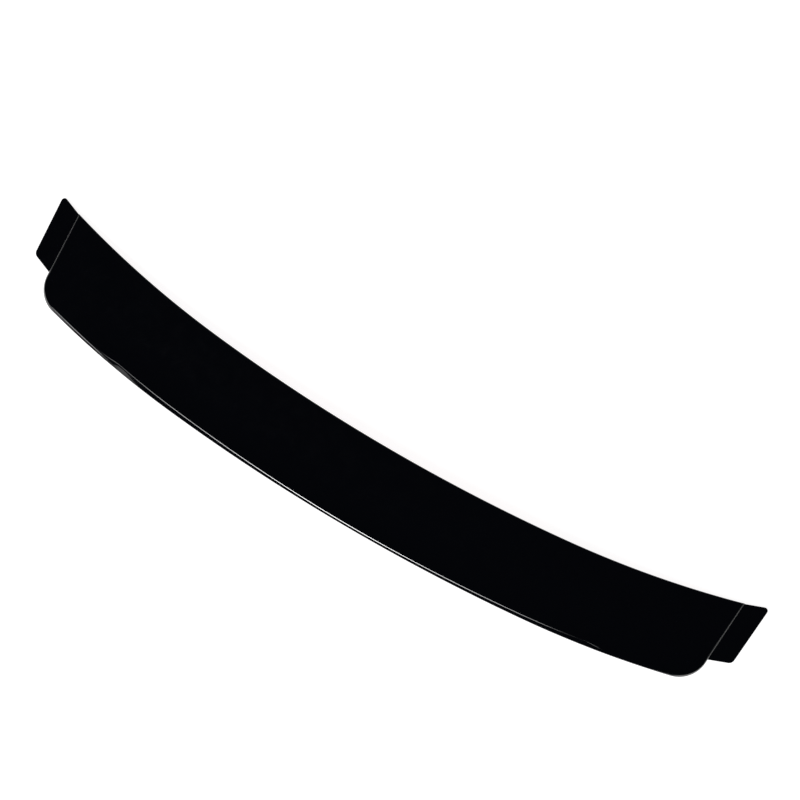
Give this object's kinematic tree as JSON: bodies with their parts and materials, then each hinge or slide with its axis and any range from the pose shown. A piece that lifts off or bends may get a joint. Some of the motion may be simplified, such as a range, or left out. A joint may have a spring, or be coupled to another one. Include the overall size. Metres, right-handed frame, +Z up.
{
  "type": "trunk spoiler",
  "caption": "Long shallow stick-on lip spoiler with swept ends, rounded trailing corners and a stepped bonding tab at each end.",
  "frame": {"origin": "centre of the footprint, on the surface that the loose part rests on", "axes": "+X along the span to the right as seen from behind, +Y toward the leading edge, +Z up"},
  "size_m": [1.1806, 0.2056, 0.0477],
  "materials": {
    "gloss_black": "gloss",
    "foam": "matte",
    "liner": "satin"
  },
  "bodies": {
    "root": {"spoiler_shell": "gloss_black", "front_tape": "foam", "rear_tape": "foam", "left_tab_tape": "foam", "right_tab_tape": "foam", "front_liner": "liner", "rear_liner": "liner", "left_tab_liner": "liner", "right_tab_liner": "liner"}
  },
  "joints": []
}
